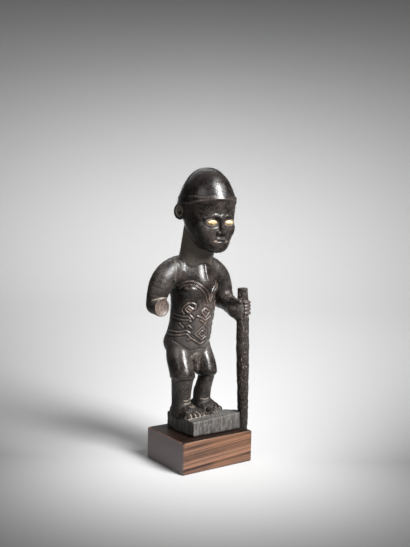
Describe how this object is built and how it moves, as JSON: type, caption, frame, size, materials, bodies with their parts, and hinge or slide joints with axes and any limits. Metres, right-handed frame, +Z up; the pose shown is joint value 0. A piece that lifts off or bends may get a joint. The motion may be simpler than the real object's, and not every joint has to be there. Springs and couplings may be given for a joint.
{
  "type": "male figure",
  "caption": "Carved wooden standing man with a domed coiffure and scarred trunk, holding a staff, one forearm lost, on a wooden base.",
  "frame": {"origin": "centre of the wooden base's underside", "axes": "+Z up, the figure faces -Y with a slight turn to its left, +X is the figure's left"},
  "size_m": [0.0718, 0.0503, 0.2013],
  "materials": {
    "dark_wood": "dark glossy patina, worn reddish brown on the raised scars and the broken arm",
    "inlay": "polished cream shell with dark stains",
    "base_wood": "satin rosewood with dark stripes along its width"
  },
  "bodies": {
    "root": {"carved_figure": "dark_wood", "right_eye_inlay": "inlay", "left_eye_inlay": "inlay", "rosewood_base": "base_wood"}
  },
  "joints": []
}
